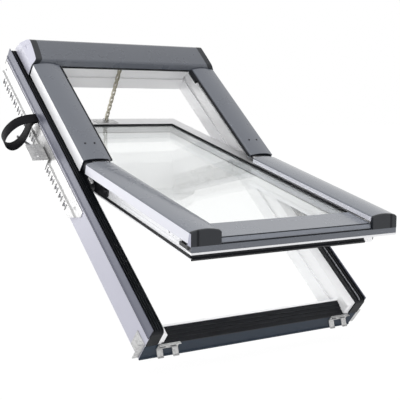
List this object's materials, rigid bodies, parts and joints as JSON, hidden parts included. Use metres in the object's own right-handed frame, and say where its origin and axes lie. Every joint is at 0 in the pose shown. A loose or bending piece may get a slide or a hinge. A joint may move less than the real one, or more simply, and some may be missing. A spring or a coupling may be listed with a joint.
{
  "type": "centre-pivot roof window",
  "caption": "Centre-pivot roof window with a powered push chain: white frame and tilted sash, anthracite covers and hood, double glazing, slotted fixing rail and carrying strap.",
  "frame": {"origin": "middle of the sill's room-side face, on the plane the frame rests on in the roof", "axes": "+Z vertical, +X to the right across the window seen from outside, +Y level and into the building; the frame lies on a 40 degree slope that climbs towards +Y"},
  "size_m": [0.8971, 1.1402, 0.8808],
  "materials": {
    "white_profile": "smooth white moulded profile",
    "grey_cover": "satin coated sheet",
    "dark_moulding": "fine matt",
    "black_seal": "dull",
    "black_fitting": "fine matt",
    "clear_glass": "clear, faint green edge",
    "spacer_metal": "dull",
    "bright_metal": "satin",
    "flange_metal": "satin coated strip",
    "cladding_metal": "satin coated sheet",
    "zinc_steel": "zinc plated sheet",
    "chain_steel": "oiled, slightly yellowed zinc",
    "webbing": "black woven strap"
  },
  "bodies": {
    "frame": {"frame_side_left": "white_profile", "frame_side_right": "white_profile", "frame_head": "white_profile", "frame_sill": "white_profile", "pivot_guides": "white_profile", "upper_cover_left": "grey_cover", "upper_cover_right": "grey_cover", "hood": "grey_cover", "hood_end_cap_left": "dark_moulding", "hood_end_cap_right": "dark_moulding", "cover_carriers": "dark_moulding", "pivot_covers": "dark_moulding", "side_gasket_left": "black_seal", "side_gasket_right": "black_seal", "sill_gasket": "black_seal", "hood_seal": "black_seal", "pivot_block_left": "black_fitting", "pivot_block_right": "black_fitting", "drive_housing": "black_fitting", "hood_end_plates": "bright_metal", "joint_plates": "bright_metal", "flange_strip_left": "flange_metal", "flange_strip_right": "flange_metal", "sill_cladding": "cladding_metal", "fixing_rail_left": "zinc_steel", "fixing_rail_right": "zinc_steel", "fixing_brackets": "zinc_steel", "sill_clips": "zinc_steel", "corner_angles": "zinc_steel", "rail_screws": "zinc_steel", "cover_screws": "zinc_steel", "pivot_pins": "zinc_steel", "push_chain_links": "chain_steel", "push_chain_pins": "chain_steel", "carrying_strap": "webbing"},
    "sash": {"cap_joint_seals": "black_seal", "lower_cover_left": "grey_cover", "lower_cover_right": "grey_cover", "lower_cover_cap_left": "dark_moulding", "lower_cover_cap_right": "dark_moulding", "bottom_cover": "grey_cover", "front_apron": "grey_cover", "drip_strip": "bright_metal", "front_seal": "black_seal", "cover_spacers": "dark_moulding", "sash_stile_left": "white_profile", "sash_stile_right": "white_profile", "sash_top_rail": "white_profile", "sash_bottom_rail": "white_profile", "outer_pane": "clear_glass", "inner_pane": "clear_glass", "glass_spacer_bar": "spacer_metal", "outer_glazing_seal": "black_seal", "inner_glazing_seal": "black_seal", "sash_seal": "black_seal", "pivot_arm_left": "black_fitting", "pivot_arm_right": "black_fitting", "lock_blocks": "black_fitting", "chain_anchor": "zinc_steel", "anchor_pin": "zinc_steel"}
  },
  "joints": [
    {"name": "sash_pivot", "type": "hinge", "parent": "frame", "child": "sash", "pos_m": [0, 0.34541, 0.4269], "axis": [1, 0, 0], "range_deg": [0, 25.8], "deforming": ["push_chain_links", "push_chain_pins"]}
  ]
}
